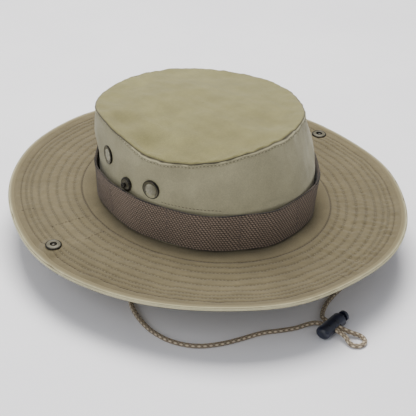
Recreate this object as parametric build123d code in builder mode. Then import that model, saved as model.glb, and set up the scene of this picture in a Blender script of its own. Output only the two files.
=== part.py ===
from build123d import *
import math
import os

# Boonie hat: round cloth crown, stitched brim, webbing foliage band, side snaps, screen
# vents and a chin cord with a spring lock. Millimetres, +Z up, the hat's front towards -Y.
# The origin is the centre of the head opening, at mid thickness of the brim.

# Head and cloth
head_half_width = 86.3
head_half_length = 96.9
cloth = 1.0
sweatband_thickness = 1.4
sweatband_height = 30.0
tape_thickness = 0.6
tape_width = 8.0
back_tape_width = 12.0

# Brim
brim_width_side = 78.8
brim_width_front = 80.5
brim_cloth = 0.8
interlining = 1.2
binding_cloth = 0.6
binding_width = 5.0
binding_edge_gap = 0.1
flap_reach = 57.5
flap_slit = 0.8

# Crown: upright to just above the band, then drawn in to a tip that slopes down to the back
crown_height = 83.0
tip_draw_in_side = 5.4
tip_draw_in_front = 6.3
tip_shift_x = -1.5
tip_shift_y = 4.2
tip_lean_x = 0.02
tip_lean_y = -0.09
tip_tape_clearance = 1.2

# Foliage band
band_low = 3.2
band_height = 33.0
band_headroom = 1.8
band_gap = 2.0
band_thickness = 1.6
tack_count = 10
tack_width = 3.0
tack_inset = 1.0
tack_first_azimuth = -117.0

# Side snaps: a stud on the crown wall, a socket on the brim's top
stud_y = -2.0
stud_rise = 3.0
stud_flange_radius = 5.8
stud_flange_height = 1.2
stud_post_radius = 2.4
stud_post_height = 3.0
stud_neck_radius = 1.8
rivet_radius = 1.6
rivet_clearance = 0.1
cap_thickness = 0.8
socket_y = 10.0
socket_clearance = 1.3
socket_radius = 6.75
socket_height = 1.6
socket_dish_radius = 4.6
socket_dish_depth = 0.9
socket_post_clearance = 0.3
socket_cap_radius = 7.5

# Screen vents
vent_y = 29.0
vent_back_rise = 15.0
vent_front_rise = 9.0
vent_flange_radius = 8.0
vent_flange_height = 1.6
vent_barrel_radius = 6.2
vent_bore_radius = 5.0
vent_inner_reach = 3.2
vent_washer_radius = 7.6
screen_thickness = 0.4
screen_hole = 1.1
screen_pitch = 1.9
screen_count = 3

# Chin cord, its two tabs and its lock
cord_diameter = 4.0
tab_wall = 1.2
tab_length = 12.0
tab_drop = 7.6
tab_outset = 2.3
lock_x = -11.2
lock_y = -170.9
lock_z = -39.5
lock_turn = 10.0
lock_half_width = 6.25
lock_half_height = 5.5
lock_tail = 15.5
lock_nose = 12.0
lock_floor = 2.0
lock_tail_rounding = 4.0
lock_nose_rounding = 0.9
lock_rounding = 1.0
strand_gap = 0.4
cord_hole_clearance = 0.3
plunger_radius = 4.2
plunger_clearance = 0.3
plunger_foot = 2.0
plunger_shoulder = 1.0
stem_radius = 2.8
plunger_travel = 3.5
button_gap = 0.3
button_radius = 4.5
button_height = 3.0
spring_radius = 3.2
spring_wire_radius = 0.35
spring_turns = 3

# The cord's route from the wearer's right tab to the left one, as laid by hand
cord_route = [
    (-91.0, 0.0, -9.0),
    (-91.0, 0.0, -18.0),
    (-93.5, -5.0, -28.0),
    (-99.0, -17.0, -37.0),
    (-108.0, -31.5, -42.0),
    (-118.2, -46.5, -43.0),
    (-124.0, -64.5, -43.0),
    (-126.1, -84.0, -43.0),
    (-122.2, -103.2, -43.0),
    (-111.0, -119.7, -43.0),
    (-94.0, -129.6, -43.0),
    (-75.4, -135.3, -43.0),
    (-58.4, -139.2, -43.0),
    (-44.6, -146.9, -43.0),
    (-31.5, -152.7, -43.0),
    (-23.4, -154.2, -42.6),
    (-15.2, -160.9, -39.5),
    (-10.9, -185.1, -39.5),
    (-14.2, -194.3, -43.0),
    (-9.0, -200.5, -43.0),
    (-1.1, -199.5, -43.0),
    (1.7, -192.0, -43.0),
    (-6.6, -184.3, -39.5),
    (-10.9, -160.2, -39.5),
    (-3.5, -152.8, -42.8),
    (7.0, -146.0, -43.0),
    (20.5, -140.8, -43.0),
    (36.0, -137.0, -43.0),
    (53.0, -131.0, -43.0),
    (68.5, -119.5, -43.0),
    (80.0, -103.0, -43.0),
    (87.5, -84.0, -43.0),
    (91.5, -64.0, -43.0),
    (93.5, -45.0, -43.0),
    (95.0, -28.5, -40.5),
    (95.5, -14.5, -34.0),
    (93.5, -5.0, -26.0),
    (91.0, 0.0, -18.0),
    (91.0, 0.0, -9.0),
]

# Sizes that follow from the ones above
upright_height = band_low + band_height + band_headroom
stud_z = upright_height + stud_rise
vent_back_z = upright_height + vent_back_rise
vent_front_z = upright_height + vent_front_rise
strand_pitch = cord_diameter + strand_gap
socket_inset = binding_width + socket_cap_radius + socket_clearance
brim_half = brim_cloth + interlining / 2
binding_half = brim_half + binding_cloth
wall_half_width = head_half_width + sweatband_thickness + cloth
wall_half_length = head_half_length + sweatband_thickness + cloth
edge_half_width = wall_half_width + brim_width_side
edge_half_length = wall_half_length + brim_width_front
tip_half_width = wall_half_width - tip_draw_in_side
tip_half_length = wall_half_length - tip_draw_in_front
hinge_x = edge_half_width - flap_reach
flap_edge_x = hinge_x + flap_slit / 2
centre_edge_x = hinge_x - flap_slit / 2
tip_plane = Plane(
    origin=(tip_shift_x, tip_shift_y, crown_height),
    x_dir=(1, 0, tip_lean_x),
    z_dir=(-tip_lean_x, -tip_lean_y, 1),
)
sides = {"right": -1, "left": 1}

os.makedirs("parts", exist_ok=True)


def write(piece, name):
    """Labels a finished piece and writes it as its own STEP file."""
    piece.part.label = name
    export_step(piece.part, f"parts/{name}.step")


def wall_oval(inset, mode=Mode.ADD):
    """An oval that lies inside the outside of the crown wall by the inset."""
    Ellipse(wall_half_width - inset, wall_half_length - inset, mode=mode)


def crown_volume(inset):
    """The crown's whole volume, inset from the wall's outer face."""
    with BuildPart() as volume:
        with BuildSketch(Plane.XY.offset(-brim_half)):
            wall_oval(inset)
        extrude(amount=brim_half + upright_height)
        with BuildSketch(Plane.XY.offset(upright_height)):
            wall_oval(inset)
        with BuildSketch(tip_plane):
            Ellipse(tip_half_width - inset, tip_half_length - inset)
        loft()
    return volume.part


def wall_x(sign, y, z):
    """How far the wall's outer face is from the middle, on one side, at a y and a z."""
    upright_x = wall_half_width * math.sqrt(1 - (y / wall_half_length) ** 2)
    tip_z = crown_height + sign * tip_lean_x * tip_half_width
    drawn_in = tip_draw_in_side - sign * tip_shift_x
    return upright_x - drawn_in * (z - upright_height) / (tip_z - upright_height)


def round_bar(plane, radius, low, high, mode=Mode.ADD):
    """A round bar on the plane's axis, between two heights over the plane."""
    with BuildSketch(plane.offset(low)) as section:
        Circle(radius)
    extrude(section.sketch, amount=high - low, mode=mode)


def ring_layer(low, high, outer_inset, inner_half_axes, zone_low, zone_high):
    """A flat layer of the brim between two heights and two values of x."""
    with BuildSketch(Plane.XY.offset(low)) as outline:
        Ellipse(edge_half_width - outer_inset, edge_half_length - outer_inset)
        Ellipse(*inner_half_axes, mode=Mode.SUBTRACT)
        with Locations(((zone_low + zone_high) / 2, 0)):
            Rectangle(zone_high - zone_low, 3 * edge_half_length, mode=Mode.INTERSECT)
    extrude(outline.sketch, amount=high - low)


# ---- Crown -------------------------------------------------------------------------

crown_outside = crown_volume(0)
crown_inside = crown_volume(cloth)
tape_inside = crown_volume(cloth + tape_thickness)

stud_planes = {}
vent_planes = {}
for side, sign in sides.items():
    stud_planes[side] = Plane(
        origin=(sign * wall_x(sign, stud_y, stud_z), stud_y, stud_z),
        x_dir=(0, 1, 0),
        z_dir=(sign, 0, 0),
    )
    for place, y, z in (("back", vent_y, vent_back_z), ("front", -vent_y, vent_front_z)):
        x = sign * wall_x(sign, y, z)
        normal = Vector(x / wall_half_width**2, y / wall_half_length**2, 0)
        vent_planes[f"{side}_{place}_vent"] = Plane(
            origin=(x, y, z), x_dir=(0, 0, 1), z_dir=normal.normalized()
        )

with BuildPart() as crown_wall:
    add(crown_outside)
    add(crown_inside, mode=Mode.SUBTRACT)
    for plane in stud_planes.values():
        round_bar(plane, rivet_radius + rivet_clearance, -4 * cloth, 2 * cloth, Mode.SUBTRACT)
    for plane in vent_planes.values():
        round_bar(plane, vent_barrel_radius, -4 * cloth, 3 * cloth, Mode.SUBTRACT)
write(crown_wall, "crown_wall")

with BuildPart() as crown_tip:
    with BuildSketch(tip_plane):
        Ellipse(tip_half_width, tip_half_length)
    extrude(amount=cloth)
write(crown_tip, "crown_tip")

with BuildPart() as tip_seam_tape:
    tape_outset = cloth + tip_tape_clearance
    with BuildSketch(tip_plane):
        Ellipse(tip_half_width - tape_outset, tip_half_length - tape_outset)
        Ellipse(
            tip_half_width - tape_outset - tape_thickness,
            tip_half_length - tape_outset - tape_thickness,
            mode=Mode.SUBTRACT,
        )
    extrude(amount=-tape_width)
write(tip_seam_tape, "tip_seam_tape")

with BuildPart() as back_seam_tape:
    add(crown_inside)
    add(tape_inside, mode=Mode.SUBTRACT)
    with BuildSketch(Plane.XY.offset(sweatband_height)) as strip:
        with Locations((0, wall_half_length)):
            Rectangle(back_tape_width, wall_half_length)
    extrude(
        strip.sketch, amount=crown_height - sweatband_height - 3 * tape_width,
        mode=Mode.INTERSECT,
    )
write(back_seam_tape, "back_seam_tape")

with BuildPart() as sweatband:
    with BuildSketch(Plane.XY.offset(-brim_half)):
        Ellipse(
            head_half_width + sweatband_thickness, head_half_length + sweatband_thickness
        )
        Ellipse(head_half_width, head_half_length, mode=Mode.SUBTRACT)
    extrude(amount=sweatband_height)
write(sweatband, "sweatband")

# ---- Foliage band and the bar tacks that hold it -----------------------------------

with BuildPart() as foliage_band:
    with BuildSketch(Plane.XY.offset(band_low)):
        wall_oval(-band_gap - band_thickness)
        wall_oval(-band_gap, Mode.SUBTRACT)
    extrude(amount=band_height)
write(foliage_band, "foliage_band")

with BuildPart() as band_bar_tacks:
    with BuildSketch(Plane.XY.offset(band_low + tack_inset)):
        with PolarLocations(wall_half_length, tack_count, tack_first_azimuth):
            Rectangle(wall_half_width, tack_width)
        wall_oval(-band_gap, Mode.INTERSECT)
        wall_oval(0, Mode.SUBTRACT)
    extrude(amount=band_height - 2 * tack_inset)
write(band_bar_tacks, "band_bar_tacks")

# ---- Brim: cloth, interlining and cloth, with a bound edge -------------------------

wall_foot = (wall_half_width, wall_half_length)
zones = {
    "brim": (-centre_edge_x, centre_edge_x),
    "left_flap": (flap_edge_x, edge_half_width + brim_half),
    "right_flap": (-edge_half_width - brim_half, -flap_edge_x),
}
stack_inset = binding_cloth + binding_edge_gap

for zone, (zone_low, zone_high) in zones.items():
    socket_planes = [
        Plane(origin=(sign * (edge_half_width - socket_inset), socket_y, brim_half))
        for side, sign in sides.items()
        if zone == f"{side}_flap"
    ]
    layers = {
        "top_cloth": (interlining / 2, brim_half),
        "interlining": (-interlining / 2, interlining / 2),
        "under_cloth": (-brim_half, -interlining / 2),
    }
    for layer, (low, high) in layers.items():
        with BuildPart() as brim_layer:
            ring_layer(low, high, stack_inset, wall_foot, zone_low, zone_high)
            for plane in socket_planes:
                round_bar(
                    plane, rivet_radius + rivet_clearance, -3 * brim_half, brim_half,
                    Mode.SUBTRACT,
                )
        write(brim_layer, f"{zone}_{layer}")

    with BuildPart() as binding:
        inner_edge = (edge_half_width - binding_width, edge_half_length - binding_width)
        ring_layer(-binding_half, binding_half, 0, inner_edge, zone_low, zone_high)
        with BuildSketch(Plane.XY.offset(-brim_half)) as stack:
            Ellipse(edge_half_width - stack_inset, edge_half_length - stack_inset)
        extrude(stack.sketch, amount=2 * brim_half, mode=Mode.SUBTRACT)
    if zone == "brim":
        for place, keep in (("front", Keep.BOTTOM), ("back", Keep.TOP)):
            with BuildPart() as half_binding:
                add(binding.part)
                split(bisect_by=Plane.XZ.rotated((180, 0, 0)), keep=keep)
            write(half_binding, f"brim_{place}_binding")
    else:
        write(binding, f"{zone}_binding")

# ---- Snaps -------------------------------------------------------------------------

for side, sign in sides.items():
    plane = stud_planes[side]
    cap_reach = cloth + cap_thickness

    with BuildPart() as stud:
        round_bar(plane, stud_flange_radius, -cloth, stud_flange_height)
        add(crown_outside, mode=Mode.SUBTRACT)
        post_top = stud_flange_height + stud_post_height
        round_bar(plane, stud_neck_radius, stud_flange_height, post_top)
        round_bar(plane, stud_post_radius, post_top - stud_post_height / 2, post_top)
        round_bar(plane, rivet_radius, -cap_reach, stud_flange_height)
    write(stud, f"{side}_snap_stud")

    with BuildPart() as stud_cap:
        round_bar(plane, stud_flange_radius, -cap_reach - cloth / 2, 0)
        add(crown_inside, mode=Mode.INTERSECT)
        round_bar(plane, rivet_radius, -3 * cap_reach, 0, Mode.SUBTRACT)
    write(stud_cap, f"{side}_stud_cap")

    place = Plane(origin=(sign * (edge_half_width - socket_inset), socket_y, brim_half))
    with BuildPart() as socket:
        round_bar(place, socket_radius, 0, socket_height)
        round_bar(
            place, socket_dish_radius, socket_height - socket_dish_depth, socket_height,
            Mode.SUBTRACT,
        )
        round_bar(
            place, stud_post_radius + socket_post_clearance, socket_dish_depth / 2,
            socket_height, Mode.SUBTRACT,
        )
        round_bar(place, rivet_radius, -2 * brim_half, socket_dish_depth / 2)
    write(socket, f"{side}_snap_socket")

    with BuildPart() as socket_cap:
        round_bar(place, socket_cap_radius, -2 * brim_half - cap_thickness, -2 * brim_half)
    write(socket_cap, f"{side}_socket_cap")

# ---- Screen vents ------------------------------------------------------------------

for name, plane in vent_planes.items():
    with BuildPart() as vent_shell:
        round_bar(plane, vent_flange_radius, -2 * cloth, vent_flange_height)
        add(crown_outside, mode=Mode.SUBTRACT)
        round_bar(plane, vent_barrel_radius, -vent_inner_reach, vent_flange_height)
        round_bar(
            plane, vent_bore_radius, -vent_inner_reach, vent_flange_height, Mode.SUBTRACT
        )
    write(vent_shell, f"{name}_shell")

    with BuildPart() as vent_screen:
        with BuildSketch(plane):
            Circle(vent_bore_radius)
            with GridLocations(screen_pitch, screen_pitch, screen_count, screen_count):
                Rectangle(screen_hole, screen_hole, mode=Mode.SUBTRACT)
        extrude(amount=screen_thickness)
    write(vent_screen, f"{name}_screen")

    with BuildPart() as vent_washer:
        round_bar(plane, vent_washer_radius, -vent_inner_reach, cloth)
        add(crown_inside, mode=Mode.INTERSECT)
        round_bar(plane, vent_barrel_radius, -2 * vent_inner_reach, cloth, Mode.SUBTRACT)
    write(vent_washer, f"{name}_washer")

# ---- Chin cord ---------------------------------------------------------------------


def corner_radii(points):
    """For each corner, the largest arc that leaves a tenth of the shorter run straight."""
    radii = []
    for before, corner, after in zip(points, points[1:], points[2:]):
        way_in = Vector(corner) - Vector(before)
        way_out = Vector(after) - Vector(corner)
        shorter = min(way_in.length, way_out.length)
        half_turn = math.radians(way_in.get_angle(way_out)) / 2
        radii.append(0.45 * shorter / math.tan(half_turn))
    return radii


radii = corner_radii(cord_route)
with BuildPart() as chin_cord:
    with BuildLine() as route:
        FilletPolyline(*cord_route, radius=radii)
    with BuildSketch(Plane(origin=cord_route[0], z_dir=(0, 0, -1))):
        Circle(cord_diameter / 2)
    sweep(path=route.line)
write(chin_cord, "chin_cord")
print("cord radii", [round(radius, 1) for radius in radii])
cord_length = sum(edge.length for edge in route.edges())
swept_volume = math.pi * cord_diameter**2 / 4 * cord_length
print("cord length", round(cord_length, 1))
print("cord volume ratio", round(chin_cord.part.volume / swept_volume, 4))

for side, sign in sides.items():
    tab_size = cord_diameter + 2 * tab_wall
    with BuildPart() as cord_tab:
        with BuildSketch(Plane.XY.offset(-brim_half - tab_drop)):
            with Locations((sign * (wall_half_width + tab_outset), 0)):
                Rectangle(tab_size, tab_length)
        extrude(amount=tab_drop)
        fillet(cord_tab.edges().filter_by(Axis.Z), radius=tab_wall)
    write(cord_tab, f"{side}_cord_tab")

# ---- Cord lock: the barrel's axis is the plane's axis, the cord crosses it ----------

barrel_way = Vector(1, 0, 0).rotate(Axis.Z, lock_turn)
cord_way = Vector(0, -1, 0).rotate(Axis.Z, lock_turn)
barrel_plane = Plane(origin=(lock_x, lock_y, lock_z), x_dir=cord_way, z_dir=barrel_way)
crossing_plane = Plane(origin=(lock_x, lock_y, lock_z), x_dir=barrel_way, z_dir=cord_way)
hole_height = cord_diameter + 2 * cord_hole_clearance
hole_length = strand_pitch + hole_height
plunger_low = -hole_length / 2 - plunger_foot
slot_high = hole_length / 2 + plunger_travel
button_low = lock_nose + plunger_travel + button_gap


def cord_slot(low, high):
    """Cuts the way that the two strands take across the barrel."""
    with BuildSketch(crossing_plane.offset(-2 * lock_half_width)) as slot:
        with Locations(((low + high) / 2, 0)):
            Rectangle(high - low, hole_height)
    extrude(slot.sketch, amount=4 * lock_half_width, mode=Mode.SUBTRACT)


with BuildPart() as lock_body:
    with BuildSketch(barrel_plane.offset(-lock_tail)):
        Ellipse(lock_half_width, lock_half_height)
    extrude(amount=lock_tail + lock_nose)
    barrel_ends = lock_body.edges().group_by(Axis(barrel_plane.origin, barrel_way))
    fillet(barrel_ends[0], radius=lock_tail_rounding)
    barrel_ends = lock_body.edges().group_by(Axis(barrel_plane.origin, barrel_way))
    fillet(barrel_ends[-1], radius=lock_nose_rounding)
    round_bar(
        barrel_plane, plunger_radius + plunger_clearance, lock_floor - lock_tail, lock_nose,
        Mode.SUBTRACT,
    )
    cord_slot(-hole_length / 2, hole_length / 2)
write(lock_body, "lock_body")

with BuildPart() as lock_plunger:
    round_bar(barrel_plane, plunger_radius, plunger_low, lock_nose - plunger_shoulder)
    round_bar(barrel_plane, stem_radius, lock_nose - plunger_shoulder, button_low)
    round_bar(barrel_plane, button_radius, button_low, button_low + button_height)
    fillet(lock_plunger.edges().group_by(Axis(barrel_plane.origin, barrel_way))[-1],
           radius=lock_rounding)
    cord_slot(-hole_length / 2, slot_high)
write(lock_plunger, "lock_plunger")

with BuildPart() as lock_spring:
    spring_low = lock_floor - lock_tail + spring_wire_radius
    spring_high = plunger_low - spring_wire_radius
    pitch = (spring_high - spring_low) / spring_turns
    coil = Helix(pitch, spring_high - spring_low, spring_radius, mode=Mode.PRIVATE)
    placed = barrel_plane.offset(spring_low).location * coil
    with BuildSketch(Plane(origin=placed @ 0, z_dir=placed % 0)):
        Circle(spring_wire_radius)
    sweep(path=placed, is_frenet=True)
write(lock_spring, "lock_spring")
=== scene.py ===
import math

import bpy
import numpy as np
from mathutils import Matrix, Vector


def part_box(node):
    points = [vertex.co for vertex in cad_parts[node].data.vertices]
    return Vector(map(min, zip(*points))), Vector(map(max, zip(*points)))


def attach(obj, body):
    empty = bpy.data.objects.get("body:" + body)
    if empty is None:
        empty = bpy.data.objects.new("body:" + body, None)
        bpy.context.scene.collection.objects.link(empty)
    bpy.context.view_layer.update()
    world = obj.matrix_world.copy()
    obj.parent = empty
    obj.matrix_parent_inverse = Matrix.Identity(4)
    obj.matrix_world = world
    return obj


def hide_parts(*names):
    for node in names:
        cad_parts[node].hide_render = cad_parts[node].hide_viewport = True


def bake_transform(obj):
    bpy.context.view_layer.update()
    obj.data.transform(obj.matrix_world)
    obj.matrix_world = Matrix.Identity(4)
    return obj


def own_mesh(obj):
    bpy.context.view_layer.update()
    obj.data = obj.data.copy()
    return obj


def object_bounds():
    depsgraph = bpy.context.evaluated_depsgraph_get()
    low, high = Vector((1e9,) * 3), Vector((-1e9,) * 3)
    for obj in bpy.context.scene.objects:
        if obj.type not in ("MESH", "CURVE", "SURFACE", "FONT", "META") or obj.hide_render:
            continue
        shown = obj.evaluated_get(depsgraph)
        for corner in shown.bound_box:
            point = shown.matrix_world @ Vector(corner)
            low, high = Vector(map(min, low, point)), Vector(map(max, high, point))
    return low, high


# Boonie hat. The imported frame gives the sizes; this script adds the cloth, webbing,
# stitching, snaps, vents and cord around it. Metres, +Z up, the hat's front towards -Y.

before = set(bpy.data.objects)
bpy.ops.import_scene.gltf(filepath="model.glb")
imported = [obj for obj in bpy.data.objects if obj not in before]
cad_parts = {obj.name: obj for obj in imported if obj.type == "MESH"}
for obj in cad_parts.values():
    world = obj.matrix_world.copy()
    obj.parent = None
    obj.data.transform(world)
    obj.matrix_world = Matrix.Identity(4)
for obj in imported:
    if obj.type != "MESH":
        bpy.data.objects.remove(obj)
cad_low, cad_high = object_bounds()
MM = 0.001

# ---- Sizes from the frame

wall_low, wall_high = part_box("crown_wall")
WALL_A, WALL_B, FOOT_Z = wall_high.x, wall_high.y, wall_low.z
EDGE_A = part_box("left_flap_binding")[1].x
EDGE_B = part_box("brim_back_binding")[1].y
BRIM_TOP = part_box("brim_top_cloth")[1].z
BAND_LOW, BAND_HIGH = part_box("foliage_band")
tip_low, tip_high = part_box("crown_tip")
TIP_A, TIP_B = (tip_high.x - tip_low.x) / 2, (tip_high.y - tip_low.y) / 2
TIP_X, TIP_Y = (tip_high.x + tip_low.x) / 2, (tip_high.y + tip_low.y) / 2
FLOOR_Z = cad_low.z
FLOOR_SIZE = 6.0
SIDES = {"right": -1, "left": 1}

# ---- Camera and light

CAMERA_AZIMUTH = math.radians(-41.645)
CAMERA_ELEVATION = math.radians(31.497)
CAMERA_ROLL = math.radians(2.0)
CAMERA_DISTANCE = 1.0
CAMERA_LENS = 97.84
CAMERA_SHIFT = (0.0072, -0.0409)


def make_camera():
    """The camera looks at the middle of the head opening, from the hat's front right."""
    a, e = CAMERA_AZIMUTH, CAMERA_ELEVATION
    back = Vector((math.sin(a) * math.cos(e), -math.cos(a) * math.cos(e), math.sin(e)))
    right = Vector((0, 0, 1)).cross(back).normalized()
    turn = Matrix((right, back.cross(right), back)).transposed()
    turn = turn @ Matrix.Rotation(CAMERA_ROLL, 3, "Z")
    data = bpy.data.cameras.new("camera")
    data.sensor_width = 36
    data.lens = CAMERA_LENS
    data.shift_x, data.shift_y = CAMERA_SHIFT
    camera = bpy.data.objects.new("camera", data)
    camera.matrix_world = Matrix.Translation(back * CAMERA_DISTANCE) @ turn.to_4x4()
    bpy.context.scene.collection.objects.link(camera)
    bpy.context.scene.camera = camera


def area_light(name, place, aim, size, power, colour):
    """A soft square light at a place, turned to a point."""
    data = bpy.data.lights.new(name, "AREA")
    data.shape = "SQUARE"
    data.size, data.energy, data.color = size, power, colour
    light = bpy.data.objects.new(name, data)
    light.location = place
    light.rotation_euler = (Vector(aim) - Vector(place)).to_track_quat("-Z", "Y").to_euler()
    bpy.context.scene.collection.objects.link(light)


def make_lights():
    """A broad light overhead, a weaker one from the camera's left, and a pale room."""
    area_light("light_top", (0.22, 0.38, 1.6), (0, 0, 0), 0.95, 51, (1.0, 0.985, 0.95))
    area_light("light_side", (-1.3, -0.2, 0.9), (0, 0, 0), 1.2, 8, (0.96, 0.98, 1.0))
    world = bpy.data.worlds.new("room")
    world.use_nodes = True
    background = world.node_tree.nodes["Background"]
    background.inputs["Color"].default_value = (0.76, 0.78, 0.82, 1)
    background.inputs["Strength"].default_value = 0.66
    bpy.context.scene.world = world


# ---- Node material helpers


def rgb(red, green, blue):
    """A colour given as 0 to 255 on a screen, as linear values for a shader."""
    linear = [((c / 255 + 0.055) / 1.055) ** 2.4 for c in (red, green, blue)]
    return (*linear, 1.0)


class Nodes:
    """A new material and short ways to add and join its nodes."""

    def __init__(self, name, roughness, metallic=0.0, sheen=0.0):
        self.material = bpy.data.materials.new(name)
        self.material.use_nodes = True
        self.tree = self.material.node_tree
        self.shader = self.tree.nodes["Principled BSDF"]
        self.fill(self.shader, {"Roughness": roughness, "Metallic": metallic,
                                "Sheen Weight": sheen})

    def fill(self, node, values):
        """Sets a node's inputs by name or number, each from a socket or a constant."""
        for name, value in values.items():
            if isinstance(value, bpy.types.NodeSocket):
                self.tree.links.new(value, node.inputs[name])
            else:
                node.inputs[name].default_value = value
        return node

    def add(self, kind, values=(), **settings):
        """Adds a node with its inputs and its own settings."""
        node = self.tree.nodes.new(kind)
        for key, value in settings.items():
            setattr(node, key, value)
        return self.fill(node, dict(values))

    def link(self, socket, name):
        """Joins a socket to one of the shader's inputs."""
        self.tree.links.new(socket, self.shader.inputs[name])

    def place(self, source="Object"):
        """The surface's own coordinates."""
        return self.add("ShaderNodeTexCoord").outputs[source]

    def noise(self, scale, detail=3.0, rough=0.55):
        """A noise value at a scale in cells a metre."""
        values = {"Vector": self.place(), "Scale": scale, "Detail": detail, "Roughness": rough}
        return self.add("ShaderNodeTexNoise", values).outputs["Fac"]

    def stripes(self, pitch, turn):
        """Soft stripes a pitch apart, turned in the surface's own plane."""
        values = {"Vector": self.place("UV"), "Rotation": (0, 0, turn)}
        turned = self.add("ShaderNodeMapping", values).outputs["Vector"]
        values = {"Vector": turned, "Scale": math.pi / 10 / pitch}
        return self.add("ShaderNodeTexWave", values).outputs["Fac"]

    def sums(self, operation, first, second):
        """Arithmetic on two sockets or numbers."""
        return self.add("ShaderNodeMath", {0: first, 1: second}, operation=operation).outputs[0]

    def spread(self, value, low, high, new_low, new_high):
        """Maps one range of a value to another."""
        values = {"Value": value, "From Min": low, "From Max": high, "To Min": new_low,
                  "To Max": new_high}
        return self.add("ShaderNodeMapRange", values).outputs["Result"]

    def mix(self, factor, first, second, blend="MIX"):
        """Mixes two colours."""
        values = {0: factor, 6: first, 7: second}
        return self.add("ShaderNodeMix", values, data_type="RGBA", blend_type=blend).outputs[2]

    def tint(self, colour, *values):
        """A colour times some values, one after the other."""
        for value in values:
            colour = self.mix(1.0, colour, value, "MULTIPLY")
        return colour

    def attribute(self, name):
        """A value stored on the mesh's points."""
        return self.add("ShaderNodeAttribute", attribute_name=name).outputs["Fac"]

    def bump(self, height, distance, strength):
        """Joins a height to the shader's normal."""
        values = {"Height": height, "Distance": distance, "Strength": strength}
        self.link(self.add("ShaderNodeBump", values).outputs["Normal"], "Normal")


def cloth_material(name, light, shade, dark, weave=0.55 * MM):
    """Cotton twill: fine slanting ribs, mottled fading, and painted shade along its sunken seams
    and stitch rows.
    """
    m = Nodes(name, roughness=0.92, sheen=0.12)
    ribs = m.stripes(weave, math.radians(58))
    threads = m.stripes(weave * 0.8, math.radians(-32))
    fleck = m.noise(900, 2.0)
    fading = m.spread(m.noise(9, 4.0), 0.35, 0.68, 0, 1)
    colour = m.mix(fading, shade, light)
    worn = m.spread(m.noise(55, 5.0, rough=0.7), 0.38, 0.66, 0.90, 1.06)
    flecked, ribbed = m.spread(fleck, 0.3, 0.7, 0.90, 1.08), m.spread(ribs, 0, 1, 0.93, 1.05)
    # The dark colour is painted shade, mixed in by the painted shade values stored on each mesh.
    colour = m.mix(m.attribute("painted_shade"), m.tint(colour, flecked, worn, ribbed), dark)
    m.link(colour, "Base Color")
    weave_height = m.sums("ADD", m.sums("MULTIPLY", ribs, 0.6), m.sums("MULTIPLY", threads, 0.4))
    m.bump(m.sums("ADD", weave_height, m.sums("MULTIPLY", fleck, 0.8)), 0.12 * MM, 0.7)
    return m.material


def yarn_material(name, light, dark, gloss, attribute_name):
    """Thick yarn whose height is in the mesh: painted shade between the yarns, fibres on them."""
    m = Nodes(name, roughness=gloss, sheen=0.1)
    height = m.attribute(attribute_name)
    fibres = m.noise(1400)
    colour = m.mix(m.spread(height, 0.15, 0.9, 0, 1), dark, light)
    patches = m.spread(m.noise(30), 0.3, 0.7, 0.86, 1.1)
    m.link(m.tint(colour, m.spread(fibres, 0.3, 0.7, 0.8, 1.15), patches), "Base Color")
    m.bump(fibres, 0.15 * MM, 0.8)
    return m.material


def hard_material(name, light, dark, roughness, metallic, grain, depth):
    """Plastic or painted metal with a fine grain and smudges."""
    m = Nodes(name, roughness=roughness, metallic=metallic)
    smudge = m.spread(m.noise(140, 4.0), 0.35, 0.65, 0, 1)
    m.link(m.mix(smudge, dark, light), "Base Color")
    m.link(m.spread(m.noise(260), 0.3, 0.7, roughness * 0.8, roughness * 1.25), "Roughness")
    m.bump(m.noise(grain), depth, 0.6)
    return m.material


def floor_material():
    """A pale matte tabletop with a barely visible mottle."""
    m = Nodes("floor_matte", roughness=0.75)
    mottle = m.spread(m.noise(6), 0.35, 0.65, 0, 1)
    m.link(m.mix(mottle, rgb(238, 237, 241), rgb(243, 242, 245)), "Base Color")
    m.bump(m.noise(400, 2.0), 0.05 * MM, 0.3)
    return m.material


# The third colour of each cloth is its painted shade for seams, stitch rows and folds.
tip_cloth = cloth_material("tip_twill", rgb(125, 120, 79), rgb(115, 109, 70), rgb(44, 38, 24))
wall_cloth = cloth_material("wall_twill", rgb(156, 150, 121), rgb(145, 139, 110), rgb(56, 50, 36))
brim_cloth = cloth_material("brim_twill", rgb(105, 95, 68), rgb(94, 84, 59), rgb(42, 34, 23))
# The edge tape's pale colours are a painted highlight along the brim's rolled edge.
edge_highlight_cloth = cloth_material("edge_tape_painted_highlight", rgb(183, 177, 143), rgb(171, 164, 131),
                            rgb(110, 100, 72), 0.9 * MM)
lining_cloth = cloth_material("sweatband_twill", rgb(138, 128, 98), rgb(124, 114, 86),
                              rgb(68, 60, 44), 0.7 * MM)
tape_cloth = cloth_material("seam_tape", rgb(130, 120, 92), rgb(114, 104, 80), rgb(64, 56, 42),
                            1.1 * MM)
# The dark colour of each thread and of the webbing is painted shade, at stitch ends and between
# yarns; the cord's dark colour is painted shade between its yarns and also its dyed tracer yarns.
thread = yarn_material("olive_thread", rgb(116, 106, 76), rgb(76, 66, 46), 0.7, "stitch_end_shade")
dark_thread = yarn_material("dark_thread", rgb(88, 76, 54), rgb(52, 43, 30), 0.7, "stitch_end_shade")
seam_thread = yarn_material("seam_thread", rgb(186, 178, 146), rgb(112, 102, 78), 0.7, "stitch_end_shade")
tack_thread = yarn_material("tack_thread", rgb(104, 88, 78), rgb(56, 45, 38), 0.7, "stitch_end_shade")
webbing = yarn_material("band_webbing", rgb(140, 121, 103), rgb(17, 12, 10), 0.85, "yarn")
cord_yarn = yarn_material("cord_braid", rgb(204, 190, 162), rgb(78, 60, 46), 0.8, "yarn")
lock_plastic = hard_material("lock_plastic", rgb(34, 40, 60), rgb(18, 22, 36), 0.32, 0.0, 2200,
                             0.05 * MM)
spring_wire = hard_material("spring_wire", rgb(190, 190, 192), rgb(150, 150, 154), 0.3, 1.0, 900,
                            0.02 * MM)
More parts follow.
